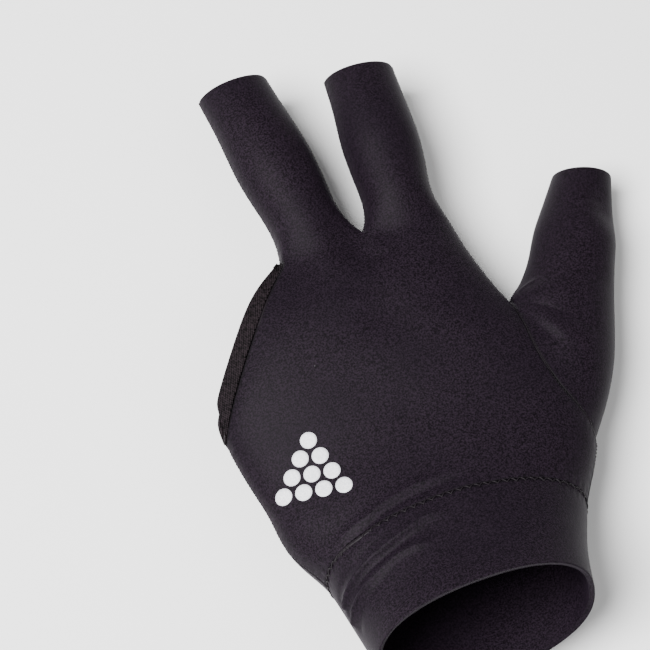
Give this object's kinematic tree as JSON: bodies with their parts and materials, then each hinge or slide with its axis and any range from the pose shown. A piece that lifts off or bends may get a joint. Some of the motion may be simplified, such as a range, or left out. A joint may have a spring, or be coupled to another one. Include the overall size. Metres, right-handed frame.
{
  "type": "three-finger billiard glove",
  "caption": "Stretch glove for a left hand with sleeves for the thumb, index and middle fingers, and one bound opening for the other fingers.",
  "frame": {"origin": "centre of the wrist opening, where the glove is put on and held", "axes": "+Y towards the fingertips, +X towards the thumb, +Z out of the back of the hand, palm down"},
  "size_m": [0.1396, 0.1929, 0.0527],
  "materials": {
    "stretch_cloth": "black stretch knit with a soft satin sheen and a fine grain",
    "cuff_cloth": "the same black stretch knit, doubled and sewn down as an elastic hem",
    "ribbed_tape": "matt black ribbed binding tape"
  },
  "bodies": {
    "root": {"hand_back": "stretch_cloth", "hand_palm": "stretch_cloth", "thumb_sleeve": "stretch_cloth", "wrist_cuff": "cuff_cloth", "finger_opening_binding": "ribbed_tape"}
  },
  "joints": []
}
